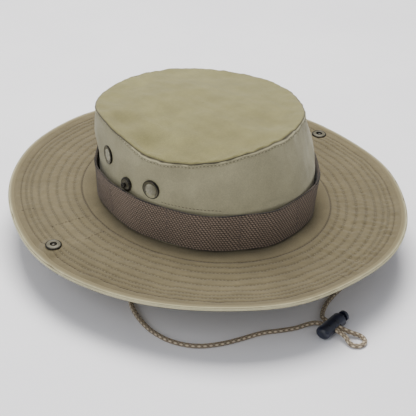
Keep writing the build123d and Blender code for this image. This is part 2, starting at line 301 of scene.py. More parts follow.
vent_metal = hard_material("vent_metal", rgb(100, 96, 76), rgb(74, 70, 56), 0.5, 0.35, 700,
                           0.04 * MM)
vent_wire = hard_material("vent_wire", rgb(216, 212, 192), rgb(150, 146, 126), 0.42, 0.5, 900,
                          0.02 * MM)
snap_metal = hard_material("snap_metal", rgb(46, 42, 34), rgb(24, 22, 18), 0.36, 0.6, 700,
                           0.04 * MM)
snap_dish = hard_material("snap_dish", rgb(96, 91, 73), rgb(70, 66, 52), 0.5, 0.2, 700,
                          0.04 * MM)

# ---- Mesh helpers


def new_piece(name, points, faces, material):
    """A mesh object from points and faces, shaded smooth."""
    mesh = bpy.data.meshes.new(name)
    mesh.from_pydata(np.asarray(points, float).reshape(-1, 3).tolist(), [], faces)
    mesh.materials.append(material)
    mesh.polygons.foreach_set("use_smooth", [True] * len(mesh.polygons))
    mesh.update()
    piece = bpy.data.objects.new(name, mesh)
    bpy.context.scene.collection.objects.link(piece)
    return piece


def grid_faces(rows, columns, closed=False, flip=False):
    """Quads over a grid of points; closed joins the last row to the first."""
    row = np.arange(rows if closed else rows - 1)[:, None]
    column = np.arange(columns - 1)[None, :]
    first = row * columns + column
    second = (row + 1) % rows * columns + column
    quads = np.stack([first, second, second + 1, first + 1], -1).reshape(-1, 4)
    return (quads[:, ::-1] if flip else quads).tolist()


def rolled(faces, columns):
    """The faces of a grid whose last column is the first one again."""
    wide = columns + 1
    return [[i // wide * columns + i % wide % columns for i in face] for face in faces]


def joined(parts):
    """Several lots of points and faces as one."""
    starts = np.cumsum([0] + [len(points) for points, _ in parts])
    faces = [[i + int(start) for i in face]
             for start, (_, part_faces) in zip(starts, parts) for face in part_faces]
    return np.concatenate([points for points, _ in parts]), faces


def stacked(x, y, z):
    """Points from their coordinates, any of which may be the same for a row or column."""
    return np.stack(np.broadcast_arrays(x, y, z), -1)


def set_values(piece, name, values):
    """Stores one number a point on a mesh."""
    layer = piece.data.attributes.new(name, "FLOAT", "POINT")
    layer.data.foreach_set("value", np.asarray(values, np.float32).ravel())


def set_uv(piece, across, along):
    """Stores surface coordinates in metres for the weave to follow, right round a ring."""
    layer = piece.data.uv_layers.new(name="weave")
    index = np.zeros(len(piece.data.loops), np.int32)
    piece.data.loops.foreach_get("vertex_index", index)
    across = np.ravel(across)[index]
    whole = across.max()
    for face in piece.data.polygons:
        loops = slice(face.loop_start, face.loop_start + face.loop_total)
        if np.ptp(across[loops]) > whole / 2 > 0.15:
            across[loops] += whole * (across[loops] < whole / 2)
    values = np.stack([across, np.ravel(along)[index]], 1)
    layer.data.foreach_set("uv", values.astype(np.float32).ravel())


def grid_piece(name, points, material, closed, flip, painted_shade=0.0, uv=None):
    """A smooth piece over a grid of points, with its painted shade values and coordinates."""
    shape = points.shape[:2]
    piece = new_piece(name, points, grid_faces(*shape, closed, flip), material)
    set_values(piece, "painted_shade", np.broadcast_to(painted_shade, shape))
    if uv:
        set_uv(piece, *(np.broadcast_to(way, shape) for way in uv))
    return piece


def grid_normals(points):
    """Unit normals of a grid of points."""
    normal = np.cross(np.gradient(points, axis=1), np.gradient(points, axis=0))
    return normal / np.linalg.norm(normal, axis=-1, keepdims=True)


def thicken(piece, thickness, offset=-1):
    """Gives a sheet its thickness: inwards at offset -1, to both sides at 0."""
    solid = piece.modifiers.new("thickness", "SOLIDIFY")
    solid.thickness, solid.offset = thickness, offset


def dress(piece, body, slot, *nodes):
    """Puts a piece on a body in place of CAD nodes; the slot is not used."""
    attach(piece, body)
    if nodes:
        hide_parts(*nodes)


def turns(count):
    """Even turns right round the hat, as a column."""
    return np.arange(count)[:, None] / count * 2 * np.pi


def smooth_step(value, low=0.0, high=1.0):
    """0 below low, 1 above high, and smooth between."""
    share = np.clip((value - low) / (high - low), 0, 1)
    return share * share * (3 - 2 * share)


def hump(far, reach):
    """1 where far is 0, falling to 0 on both sides over a reach."""
    return np.exp(-((far / reach) ** 2))


def travel(path):
    """How far along a path each of its points is."""
    steps = np.linalg.norm(np.diff(path, axis=0), axis=1)
    return np.concatenate([[0], np.cumsum(steps)])


def read_along(path, travelled, where):
    """The path's values at other distances along it."""
    return stacked(*(np.interp(where, travelled, column) for column in path.T))


def turned_from(turn, azimuth):
    """How far turns are from an azimuth in degrees, as an angle of at most half a turn."""
    return (turn - math.radians(azimuth) + np.pi) % (2 * np.pi) - np.pi


def ripples(seed, count, shortest, longest):
    """Seeded waves in all directions, as a function of a place in metres."""
    rng = np.random.default_rng(seed)
    heading = rng.normal(size=(count, 3))
    heading /= np.linalg.norm(heading, axis=1, keepdims=True)
    length = np.exp(rng.uniform(np.log(shortest), np.log(longest), count))
    phase = rng.uniform(0, 2 * np.pi, count)

    def height(x, y, z=0.0):
        total = 0
        for (east, north, up), wave, start in zip(heading, length, phase):
            total = total + np.cos(2 * np.pi * (x * east + y * north + z * up) / wave + start)
        return total / math.sqrt(count)

    return height


def gathers(seed, count, shortest, longest):
    """Seeded puckers across a row of stitches that runs round the hat."""
    rng = np.random.default_rng(seed)
    whole_round = np.pi * (EDGE_A + EDGE_B) * 0.8
    waves = np.round(whole_round / rng.uniform(shortest, longest, count))
    slant = rng.uniform(-0.35, 0.35, count)
    phase = rng.uniform(0, 2 * np.pi, count)

    def height(turn, inset):
        total = 0
        for wave, lean, start in zip(waves, slant, phase):
            total = total + np.cos(wave * (turn + 6 * lean * inset) + start)
        return total / math.sqrt(count)

    return height


def around(heights, azimuth):
    """A smooth closed curve through (azimuth in degrees, height in mm) places."""
    places, values = np.array(heights).T
    fine = np.radians(np.arange(0, 360, 2.0))
    terms = np.fft.rfft(np.interp(np.degrees(fine), places % 360, values * MM, period=360))
    terms[10:] = 0
    smooth = np.fft.irfft(terms, len(fine))
    return np.interp(np.asarray(azimuth) % (2 * np.pi), fine, smooth, period=2 * np.pi)


def box_centre(node):
    """The middle of a CAD node's box."""
    low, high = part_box(node)
    return (low + high) / 2


def spot(x, y, centre, reach):
    """1 round a place seen from above, falling to 0 at about a reach away."""
    far = np.hypot(x - centre.x, y - centre.y) / reach
    return np.exp(-(far ** 4))


# ---- Stitches

STITCH_PITCH = 3.0 * MM
STITCH_LENGTH = 2.1 * MM
STITCH_RADIUS = 0.27 * MM
SOCKET_CLEAR = 7.9 * MM
SOCKET_CENTRES = [box_centre(f"{side}_snap_socket") for side in SIDES]


def stitch_row(path, normal):
    """Points and faces of the stitches of one seam: short beads on a path."""
    travelled = travel(path)
    count = max(1, int(travelled[-1] / STITCH_PITCH))
    middle = (np.arange(count) + 0.5) * travelled[-1] / count
    places = [read_along(path, travelled, middle + shift)
              for shift in (-STITCH_LENGTH / 2, 0, STITCH_LENGTH / 2)]
    up = read_along(normal, travelled, middle)
    clear = np.ones(count, bool)
    for centre in SOCKET_CENTRES:
        far = np.hypot(places[1][:, 0] - centre.x, places[1][:, 1] - centre.y)
        clear &= far > SOCKET_CLEAR
    places, up, count = [place[clear] for place in places], up[clear], int(clear.sum())
    way = places[2] - places[0]
    side = np.cross(way, up)
    side /= np.linalg.norm(side, axis=1, keepdims=True)
    rings = [places[0][:, None]]
    corners = np.arange(4) * np.pi / 2 + np.pi / 4
    for share in (0.25, 0.75):
        centre = places[0] + way * share
        ring = [np.cos(c) * side * 1.25 + np.sin(c) * up for c in corners]
        rings.append(np.stack([centre + STITCH_RADIUS * place for place in ring], 1))
    rings.append(places[2][:, None])
    points = np.concatenate(rings, 1)
    faces = []
    for start in range(0, count * 10, 10):
        for k in range(4):
            n = (k + 1) % 4
            faces.append((start, start + 1 + n, start + 1 + k))
            faces.append((start + 1 + k, start + 1 + n, start + 5 + n, start + 5 + k))
            faces.append((start + 9, start + 5 + k, start + 5 + n))
    return points.reshape(-1, 3), faces


def stitch_piece(name, rows, material):
    """One piece that holds several rows of stitches."""
    points, faces = joined([stitch_row(path, normal) for path, normal in rows])
    piece = new_piece(name, points, faces, material)
    # Each stitch bead is dark at both ends: painted shade where it goes into the cloth.
    high = np.tile([0.2, *[0.9] * 8, 0.2], len(piece.data.vertices) // 10)
    set_values(piece, "stitch_end_shade", high)
    return piece


# ---- Chin cord

CORD_DIAMETER = 0.004
# The points of the frame's cord, in mm
CORD_ROUTE = [
    (-91, 0, -9), (-91, 0, -18), (-93.5, -5, -28), (-99, -17, -37), (-108, -31.5, -42),
    (-118.2, -46.5, -43), (-124, -64.5, -43), (-126.1, -84, -43), (-122.2, -103.2, -43),
    (-111, -119.7, -43), (-94, -129.6, -43), (-75.4, -135.3, -43), (-58.4, -139.2, -43),
    (-44.6, -146.9, -43), (-31.5, -152.7, -43), (-23.4, -154.2, -42.6), (-15.2, -160.9, -39.5),
    (-10.9, -185.1, -39.5), (-14.2, -194.3, -43), (-9, -200.5, -43), (-1.1, -199.5, -43),
    (1.7, -192, -43), (-6.6, -184.3, -39.5), (-10.9, -160.2, -39.5), (-3.5, -152.8, -42.8),
    (7, -146, -43), (20.5, -140.8, -43), (36, -137, -43), (53, -131, -43), (68.5, -119.5, -43),
    (80, -103, -43), (87.5, -84, -43), (91.5, -64, -43), (93.5, -45, -43), (95, -28.5, -40.5),
    (95.5, -14.5, -34), (93.5, -5, -26), (91, 0, -18), (91, 0, -9),
]
BRAID_PITCH = 4.6 * MM
BRAID_STRANDS = 4
BRAID_DEPTH = 0.34 * MM
CORD_STEP = 0.55 * MM
CORD_SIDES = 20


def cord_centreline():
    """Points close together on the cord's smooth line."""
    data = bpy.data.curves.new("cord_line", "CURVE")
    data.dimensions = "3D"
    data.resolution_u = 24
    spline = data.splines.new("NURBS")
    spline.points.add(len(CORD_ROUTE) - 1)
    for point, place in zip(spline.points, CORD_ROUTE):
        point.co = (*(value * MM for value in place), 1)
    spline.order_u = 3
    spline.use_endpoint_u = True
    line = bpy.data.objects.new("cord_line", data)
    bpy.context.scene.collection.objects.link(line)
    bpy.context.view_layer.update()
    evaluated = line.evaluated_get(bpy.context.evaluated_depsgraph_get())
    mesh = bpy.data.meshes.new_from_object(evaluated)
    points = np.array([v.co for v in mesh.vertices])
    bpy.data.objects.remove(line)
    travelled = travel(points)
    even = np.linspace(0, travelled[-1], int(travelled[-1] / CORD_STEP))
    return read_along(points, travelled, even), even


def carried_frames(points):
    """Two directions across a path at each point, carried along it without spinning round it."""
    way = np.gradient(points, axis=0)
    way /= np.linalg.norm(way, axis=1, keepdims=True)
    first = np.cross(way[0], (0, 1, 0))
    firsts = [first / np.linalg.norm(first)]
    for direction in way[1:]:
        carried = firsts[-1] - direction * (firsts[-1] @ direction)
        firsts.append(carried / np.linalg.norm(carried))
    firsts = np.array(firsts)
    return firsts, np.cross(way, firsts)


def make_cord():
    """The braided chin cord as a tube whose yarns stand in relief."""
    centre, along = cord_centreline()
    first, second = carried_frames(centre)
    turn = turns(CORD_SIDES).T
    lead = np.pi * along[:, None] / BRAID_PITCH
    left = np.cos(BRAID_STRANDS * turn / 2 + lead)
    right = np.cos(BRAID_STRANDS * turn / 2 - lead)
    yarn = np.sqrt(np.abs(left * right))
    radius = CORD_DIAMETER / 2 - BRAID_DEPTH * (1 - yarn)
    tracer = smooth_step(left * right, -0.25, 0.15)
    across = np.cos(turn)[..., None] * first[:, None] + np.sin(turn)[..., None] * second[:, None]
    points = centre[:, None] + radius[..., None] * across
    rows, sides = points.shape[:2]
    faces = rolled(grid_faces(rows, sides + 1), sides)
    faces.append(list(range(sides)))
    faces.append(list(range((rows - 1) * sides, rows * sides))[::-1])
    cord = new_piece("chin_cord_braid", points, faces, cord_yarn)
    # Painted shade between the yarns, and darker tracer yarns, which are dyed brown.
    set_values(cord, "yarn", yarn * (0.5 + 0.5 * tracer))
    dress(cord, "hat", "cord", "chin_cord")


# ---- Crown

# Height of the tip's seam round the crown, in mm at an azimuth in degrees
RIM_HEIGHTS = [
    (-178, 77.5), (-163, 73.5), (-150, 73), (-138, 76), (-126, 80), (-113, 84.3), (-100, 88.5),
    (-85, 91.5), (-70, 93.5), (-60, 93), (-50, 90.5), (-38, 87), (-20, 84.3), (0, 81.7),
    (20, 78.2), (40, 76), (60, 75.8), (90, 75.7), (108, 75.5), (122, 76.5), (138, 79.5),
    (155, 82.5), (168, 83),
]
# How much further out the seam is than the frame's oval, in mm at an azimuth in degrees
RIM_REACH = [
    (-178, 1), (-160, 0), (-70, 0), (-50, -2.6), (-38, -3.2), (-20, -3), (0, -2), (30, -1),
    (60, 0), (80, 0), (100, 1.5), (120, 3.5), (138, 5), (155, 4), (168, 2),
]
# Dents in the tip: azimuth in degrees, share of the way out, depth and reach in mm
TIP_DENTS = [(-170, 0.84, 6.0, 13), (-176, 0.55, 2.5, 24), (163, 0.82, 5.0, 11),
             (-72, 0.74, 4.0, 18), (-110, 0.8, 2.0, 20)]
UPRIGHT_Z = BAND_HIGH.z + 1.8 * MM
WALL_COLUMNS = 480
WALL_ROWS = 67
RIM_ROWS = 43
SEAM_ALLOWANCE = 2.9 * MM
TIP_DOME = 3.6 * MM
CLOTH = 1.0 * MM
TAPE = 0.6 * MM
TAPE_INSET = 1.9 * MM
SWEATBAND_ROW = 3 * MM
# The wall's cloth lies flat this near to a stud or vent, and is free this far from it
FITTING_FLAT, FITTING_FREE = 9 * MM, 24 * MM
# Creases in the wall: azimuth in degrees, height, depth, how tall and how wide in mm
WALL_CREASES = [(-176, 47.5, 1.2, 1.6, 13), (-137, 40.5, 0.9, 1.1, 22), (-95, 42.0, 0.6, 1.4, 18),
                (-150, 62.0, 0.9, 6.0, 16), (-60, 66.0, 1.4, 9.0, 15)]
wall_ripple = ripples(11, 14, 30 * MM, 120 * MM)
fine_ripple = ripples(12, 16, 9 * MM, 26 * MM)
rim_ripple = ripples(15, 12, 9 * MM, 30 * MM)
tip_ripple = ripples(13, 14, 35 * MM, 130 * MM)
pucker_ripple = ripples(14, 14, 5 * MM, 11 * MM)


def rim_height(turn):
    """Height of the tip's seam, with the small waves that its stitches draw up."""
    x, y = TIP_A * np.cos(turn), TIP_B * np.sin(turn)
    return around(RIM_HEIGHTS, turn) + 0.4 * MM * rim_ripple(x, y)


def oval(half_x, half_y, turn, x=0.0, y=0.0):
    """Points of an oval at some turns."""
    return x + half_x * np.cos(turn), y + half_y * np.sin(turn)


def wall_base(turn, z):
    """x and y of the crown wall before its creases: upright, then drawn in to the tip."""
    rim = rim_height(turn)
    drawn = np.clip((z - UPRIGHT_Z) / (rim - UPRIGHT_Z), 0, 1)
    reach = around(RIM_REACH, turn)
    foot_x, foot_y = oval(WALL_A, WALL_B, turn)
    tip_x, tip_y = oval(TIP_A + reach, TIP_B + reach, turn, TIP_X, TIP_Y)
    return foot_x + (tip_x - foot_x) * drawn, foot_y + (tip_y - foot_y) * drawn, drawn


def wall_way(turn):
    """x, y and z of the wall's outward direction."""
    way = stacked(np.cos(turn) / WALL_A, np.sin(turn) / WALL_B, 0)
    return way / np.linalg.norm(way, axis=-1, keepdims=True)


def wall_fittings():
    """Where the studs and vents sit on the wall, and how far its base stands off there."""
    fittings = []
    for side in SIDES:
        for node in ("snap_stud", "back_vent_screen", "front_vent_screen"):
            centre = box_centre(f"{side}_{node}")
            turn = math.atan2(centre.y / WALL_B, centre.x / WALL_A)
            x, y, _ = wall_base(turn, centre.z)
            out_x, out_y, _ = wall_way(turn)
            if node == "snap_stud":
                low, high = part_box(f"{side}_stud_cap")
                face_x = math.copysign(min(abs(low.x), abs(high.x)) + 1.7 * MM, centre.x)
            else:
                face_x = centre.x
            off = (x - face_x) * out_x + (y - centre.y) * out_y
            fittings.append((centre, off + 0.3 * MM))
    return fittings


def wall_surface(turn, share, inset=0.0):
    """The crown wall's outer face: share is 0 at the foot and 1 at the tip's seam."""
    rim = rim_height(turn)
    z = FOOT_Z + share * (rim - FOOT_Z)
    x, y, drawn = wall_base(turn, z)
    way = wall_way(turn)
    free = smooth_step(z, UPRIGHT_Z - 6 * MM, UPRIGHT_Z + 14 * MM)
    held = 0
    for centre, off in WALL_FITTINGS:
        far = np.hypot(y - centre.y, z - centre.z)
        near = smooth_step(far, FITTING_FREE, FITTING_FLAT) * (x * centre.x > 0)
        free = free * (1 - near)
        held = held + off * near
    out = free * (1.2 * MM * wall_ripple(x, y, z) + 0.22 * MM * fine_ripple(x, y, z))
    out = out + 0.9 * MM * np.sin(np.pi * drawn) * free - held
    below = rim - z
    allowance = smooth_step(below, SEAM_ALLOWANCE + 0.7 * MM, SEAM_ALLOWANCE - 0.5 * MM)
    out = out + 0.5 * MM * allowance
    out = out - 0.6 * MM * hump(below - SEAM_ALLOWANCE, 0.6 * MM)
    out = out + 0.5 * MM * pucker_ripple(x, y, z * 0.3) * np.exp(-below / (5 * MM))
    for azimuth, height, depth, tall, wide in WALL_CREASES:
        far = turned_from(turn, azimuth) * WALL_A / (wide * MM)
        low = z - height * MM + 2.5 * MM * far ** 2
        out = out - free * depth * MM * hump(far, 1) * hump(low, tall * MM)
    out = out - 1.1 * MM * smooth_step(below, 1.3 * MM, 0) - inset
    return stacked(x, y, z) + out[..., None] * way


WALL_FITTINGS = wall_fittings()


def rim_terms():
    """The seam's height as waves round the crown, which carry on smoothly inwards."""
    heights = around(RIM_HEIGHTS, turns(72)[:, 0])
    return np.fft.rfft(heights)[:8] / len(heights)


def tip_surface(turn, reach):
    """The tip's upper face: reach is 0 in the middle and 1 at the seam."""
    z, seam = 0, 0
    for k, term in enumerate(rim_terms()):
        wave = (term.real * np.cos(k * turn) - term.imag * np.sin(k * turn)) * min(k + 1, 2)
        z, seam = z + wave * reach ** k, seam + wave
    z = z + (rim_height(turn) - seam) * smooth_step(reach, 0.75, 1)
    wide = around(RIM_REACH, turn)
    x, y = oval((TIP_A + wide) * reach, (TIP_B + wide) * reach, turn, TIP_X, TIP_Y)
    inner = 1 - reach ** 2
    z = z + TIP_DOME * inner + 1.5 * MM * tip_ripple(x, y) * smooth_step(inner, 0, 0.4)
    z = z + 0.3 * MM * fine_ripple(x, y) * smooth_step(inner, 0, 0.2)
    for azimuth, share, depth, wide in TIP_DENTS:
        dent_x, dent_y = oval(TIP_A * share, TIP_B * share, math.radians(azimuth), TIP_X, TIP_Y)
        dent = hump(np.hypot(x - dent_x, y - dent_y), wide * MM)
        z = z - depth * MM * dent * smooth_step(inner, 0, 0.2)
    beyond = (1 - reach) * (TIP_A + TIP_B) / 2
    z = z + 1.0 * MM * smooth_step(beyond, 0, 1.6 * MM) - 0.2 * MM
    fading = np.exp(-beyond / (5 * MM)) * smooth_step(beyond, 0, 2 * MM)
    z = z + 0.4 * MM * pucker_ripple(x, y) * fading
    return stacked(x, y, z)


def make_wall():
    """The crown wall, a sheet of twill with its rows closest at the tip's seam."""
    turn = turns(WALL_COLUMNS)
    fine = np.linspace(0.90, 1, RIM_ROWS + 1)[1:]
    share = np.concatenate([np.linspace(0, 0.90, WALL_ROWS), fine])[None]
    points = wall_surface(turn, share)
    below = rim_height(turn) - points[..., 2]
    # Painted shade along the stitch row under the tip's seam and in the turned seam at the top.
    painted_shade = 0.45 * hump(below - SEAM_ALLOWANCE, 0.5 * MM)
    painted_shade = painted_shade + 0.95 * smooth_step(below, 0.9 * MM, 0.1 * MM)
    wall = grid_piece("crown_wall_twill", points, wall_cloth, True, False, painted_shade,
                      (turn * (WALL_A + WALL_B) / 2, points[..., 2]))
    thicken(wall, CLOTH)
    dress(wall, "hat", "crown_cloth", "crown_wall")


def make_tip():
    """The crown tip, an oval sheet of twill that meets the wall in a turned seam."""
    reach = np.concatenate([np.linspace(0.004, 0.94, 70), np.linspace(0.94, 1, 26)[1:]])[None]
    points = tip_surface(turns(WALL_COLUMNS), reach)
    beyond = (1 - reach) * (TIP_A + TIP_B) / 2
    # Painted shade where the tip turns down into its seam.
    painted_shade = 0.95 * smooth_step(beyond, 1.0 * MM, 0.1 * MM)
    tip = grid_piece("crown_tip_twill", points, tip_cloth, True, True, painted_shade,
                     (points[..., 0], points[..., 1]))
    thicken(tip, CLOTH)
    dress(tip, "hat", "crown_cloth", "crown_tip")


def wall_row(name, line, height, lift, material):
    """A row of stitches along the crown wall, at a height for each of its turns."""
    share = (height - FOOT_Z) / (rim_height(line) - FOOT_Z)
    out = wall_way(line)
    row = stitch_piece(name, [(wall_surface(line, share) + out * lift, out)], material)
    dress(row, "hat", "thread")


def make_crown_seams():
    """The row under the tip's seam, and the short one between the vents and the band."""
    line = np.linspace(0, 2 * np.pi, 721)
    wall_row("crown_seam_stitches", line, rim_height(line) - SEAM_ALLOWANCE, 0.25 * MM,
             seam_thread)
    line = np.radians(np.linspace(-157, -126, 60))
    wall_row("crown_topstitch", line, UPRIGHT_Z + 1.5 * MM, 0.1 * MM, dark_thread)


# ---- Foliage band

BAND_COLUMNS = 1500
BAND_ROWS = 92
YARN_PITCH = 2.6 * MM
PICK_PITCH = 1.95 * MM
YARN_HEIGHT = 0.42 * MM
BAND_THICKNESS = 1.3 * MM
TACKS = 10
TACK_FIRST = math.radians(-117.0)
# Where the band's top stands off the crown: azimuth in degrees, distance in mm, and width
# in degrees
BAND_GAPS = [(157, 2.4, 13), (172, 2.8, 8), (-52, 2.2, 13), (-150, 0.8, 12)]


def band_surface(turn, share, inset=0.0):
    """The webbing's outer face: share is 0 at its lower edge and 1 at its upper."""
    standing = 0.5 - 0.5 * np.cos((turn - TACK_FIRST) * TACKS)
    off = 1.75 * MM + 1.9 * MM * standing * (0.55 + 0.45 * share)
    for azimuth, depth, wide in BAND_GAPS:
        far = turned_from(turn, azimuth)
        off = off + depth * MM * share ** 1.5 * hump(far, math.radians(wide))
    east, north = WALL_A * np.cos(turn), WALL_B * np.sin(turn)
    off = off + 0.3 * MM * wall_ripple(east, north, share * 0.02)
    z = BAND_LOW.z + share * (BAND_HIGH.z - BAND_LOW.z)
    z = z + 0.5 * MM * wall_ripple(east, north, 0.3)
    x, y = oval(WALL_A + off - inset, WALL_B + off - inset, turn)
    return stacked(x, y, z)


def yarn_relief(turn, share):
    """The weave, 1 on a yarn and 0 between: slanting picks in a brick pattern."""
    yarns = round(np.pi * (WALL_A + WALL_B) / YARN_PITCH)
    up = share * (BAND_HIGH.z - BAND_LOW.z)
    pick = up / PICK_PITCH + 0.12 * np.sin(17 * turn) + 0.08 * np.sin(41 * turn + 9 * share)
    row = np.floor(pick)
    slant = 0.35 * (pick - row - 0.5)
    beat = turn * yarns / (2 * np.pi) + 0.5 * (row % 2) + slant
    beat = beat + 0.12 * np.sin(29 * turn + 5 * share)
    bead = np.abs(np.cos(np.pi * beat)) ** 0.7
    ridge = np.abs(np.sin(np.pi * pick)) ** 0.6
    return bead * ridge


def make_band():
    """The foliage band: coarse webbing that stands off the crown between its bar tacks."""
    turn = turns(BAND_COLUMNS)
    share = np.linspace(0, 1, BAND_ROWS)[None]
    yarn = yarn_relief(turn, share)
    edge = smooth_step(np.minimum(share, 1 - share), 0, 0.03)
    # The inset is 0 on the yarns and negative between them, so the lines between stand out
    outer = band_surface(turn, share, YARN_HEIGHT * (yarn * edge - 1))
    inner = band_surface(turn, share[:, ::-1][:, ::11], BAND_THICKNESS)
    points = np.concatenate([outer, inner], 1)
    # The webbing's colour value: painted shade between the yarns, more along the band's top and
    # bottom edges, and on its inner face.
    relief = np.concatenate([yarn * (0.5 + 0.5 * edge), 0.3 + 0 * inner[..., 0]], 1)
    rows, columns = points.shape[:2]
    faces = rolled(grid_faces(rows, columns + 1, True), columns)
    band = new_piece("foliage_webbing", points, faces, webbing)
    set_values(band, "yarn", relief)
    dress(band, "hat", "webbing", "foliage_band")


def make_bar_tacks():
    """The bar tacks that sew the band down, each of three rows of stitches."""
    rows = []
    for k in range(TACKS):
        for shift in (-0.7 * MM, 0, 0.7 * MM):
            angle = TACK_FIRST + k * 2 * np.pi / TACKS + shift / WALL_A
            path = band_surface(angle, np.linspace(0.03, 0.97, 60), -0.1 * MM)
            rows.append((path, np.tile([np.cos(angle), np.sin(angle), 0], (60, 1))))
    tacks = stitch_piece("bar_tack_threads", rows, tack_thread)
    dress(tacks, "hat", "thread", "band_bar_tacks")


# ---- Brim

# Height of the brim's edge and how much further out it is, in mm at an azimuth in degrees
EDGE_HEIGHTS = [
    (-176, -6.0), (-160, -4.4), (-147, -1.4), (-136, 1.0), (-124, 1.8), (-110, 1.8), (-75, 1.4),
    (-40, 0.6), (-5, 1.5), (45, 1.6), (88, 2.0), (106, 3.0), (120, 2.4), (146, 0), (163, -4.2),
]
EDGE_REACH = [
    (-174, 1.0), (-155, -2.0), (-140, -1.5), (-125, -1.0), (-108, 0), (-90, -2.5), (-76, 0),
    (-60, 2.5), (-41, 3.5), (-23, 4.0), (-7, 1.5), (6, 0.5), (60, 0), (90, -2.2), (104, -0.5),
    (120, -1.5), (138, 1.2), (161, 0.5), (173, 2.5),
]
# Distance of each row of stitches from the edge
SEAM_INSET = 63.5 * MM
ROW_INSETS = [v * MM for v in (57, 50, 42, 34, 26.3, 20, 15.6, 11)]
BRIM_COLUMNS = 470
BRIM_ROWS = 124
brim_wave = ripples(21, 12, 70 * MM, 190 * MM)
brim_ripple = ripples(22, 16, 13 * MM, 34 * MM)
brim_pucker = ripples(23, 18, 5 * MM, 11 * MM)
row_gathers = [gathers(40 + k, 7, 5.5 * MM, 13 * MM) for k in range(len(ROW_INSETS))]


def brim_place(turn, inset):
    """x and y of a place on the brim, by its distance from the edge."""
    out = around(EDGE_REACH, turn) * np.clip(1 - inset / (70 * MM), 0, 1) - inset
    return oval(EDGE_A + out, EDGE_B + out, turn)


def brim_middle(turn, inset):
    """Height of the brim's mid surface: nearly flat, drooping on the wearer's right."""
    x, y = brim_place(turn, inset)
    outer = np.clip(1 - inset / (34 * MM), 0, 1) ** 1.5
    z = around(EDGE_HEIGHTS, turn) * outer
    front = smooth_step(-np.sin(turn), 0.2, 0.9)
    z = z - 1.7 * MM * front * hump(inset - 40 * MM, 24 * MM)
    calm = smooth_step(79 * MM - inset, 0, 20 * MM)
    z = z + 0.7 * MM * brim_wave(x, y) * calm
    for centre in SOCKET_CENTRES:
        z = z * (1 - spot(x, y, centre, 10.5 * MM))
    return z


def brim_quilt(turn, inset):
    """Relief of the sewn cloth: grooves along the rows, puffs and puckers between."""
    x, y = brim_place(turn, inset)
    sewn = smooth_step(inset, SEAM_INSET + 2 * MM, SEAM_INSET - 2 * MM)
    sewn = sewn * smooth_step(inset, 5 * MM, 11 * MM)
    z = sewn * (0.34 * MM * brim_ripple(x, y) + 0.13 * MM * brim_pucker(x, y))
    left_front = hump(np.degrees(turn) + 72, 30)
    drawn = (0.13 + 0.40 * left_front) * MM
    for row, gather in zip(ROW_INSETS, row_gathers):
        z = z + drawn * hump(inset - row, 3.2 * MM) * gather(turn, inset)
        z = z - 0.62 * MM * hump(inset - row, 1.2 * MM)
    z = z - 0.7 * MM * hump(inset - SEAM_INSET, 0.8 * MM)
    for centre in SOCKET_CENTRES:
        z = z * (1 - spot(x, y, centre, 8.5 * MM))
    return z


def brim_painted_shade(inset):
    """Painted shade on the cloth: darkest in the seam, less so along the rows."""
    dark = 0.85 * hump(inset - SEAM_INSET, 0.55 * MM)
    for row in ROW_INSETS[:-1]:
        dark = dark + 0.48 * hump(inset - row, 0.9 * MM)
    return dark + 0.45 * hump(inset - ROW_INSETS[-1], 0.5 * MM)


def brim_face(turn, inset, up):
    """The brim's upper face for up = 1, its lower face for up = -1."""
    z = brim_middle(turn, inset) + up * (BRIM_TOP + brim_quilt(turn, inset))
    return stacked(*brim_place(turn, inset), z)


def foot_inset(turn):
    """The distance from the edge at which the brim meets the crown wall."""
    return (EDGE_A - WALL_A) * np.cos(turn) ** 2 + (EDGE_B - WALL_B) * np.sin(turn) ** 2


def fold_brim(piece, side, slot, *nodes):
    """Fixes a half brim piece in place and hides the CAD nodes it replaces; side and slot are not
    used.
    """
    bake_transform(piece)
    if nodes:
        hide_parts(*nodes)


def half_turns(side, count):
    """Turns round one half of the brim, from the middle of the hat to the middle."""
    start = -np.pi / 2 if side == "left" else np.pi / 2
    return start + np.linspace(0, np.pi, count)


def brim_sheet(side, name, up, columns, rows, *nodes):
    """One cloth of one half brim, with the whole brim's normals, so the halves meet unseen."""
    turn = half_turns(side, columns)[:, None]
    step = turn[1, 0] - turn[0, 0]
    wide = np.concatenate([turn[:1] - step, turn, turn[-1:] + step])
    share = np.linspace(0, 1, rows)[None]
    inset = 0.6 * MM + share * (foot_inset(wide) - 0.6 * MM)
    points = brim_face(wide, inset, up)
    normals = grid_normals(points)[1:-1]
    normals = normals * np.sign(normals[..., 2:]) * up
    points = points[1:-1]
    painted_shade = brim_painted_shade(inset[1:-1])
    piece = grid_piece(f"{side}_{name}", points, brim_cloth, False, up < 0, painted_shade,
                       (points[..., 0], points[..., 1]))
    piece.data.normals_split_custom_set_from_vertices(normals.reshape(-1, 3).tolist())
    fold_brim(piece, side, "brim_cloth", *nodes)


def brim_stack(side):
    """The interlining between the cloths of one half brim."""
    turn = half_turns(side, 160)[:, None]
    inset = 1.2 * MM + np.linspace(0, 1, 30)[None] * (foot_inset(turn) - 1.2 * MM)
    points = stacked(*brim_place(turn, inset), brim_middle(turn, inset))
    piece = grid_piece(f"{side}_brim_interlining", points, tape_cloth, False, True)
    fold_brim(piece, side, "interlining", "brim_interlining", f"{side}_flap_interlining")


# The binding's upper half across the brim: distance from the edge and height in mm
BINDING_TOP = [(5.3, 1.36), (5.1, 1.62), (4.6, 1.74), (3.4, 1.76), (2.2, 1.72), (1.1, 1.5),
               (0.4, 1.05), (0.02, 0.5)]
BINDING_PROFILE = [*BINDING_TOP, (-0.05, 0), *[(inset, -z) for inset, z in BINDING_TOP[::-1]]]


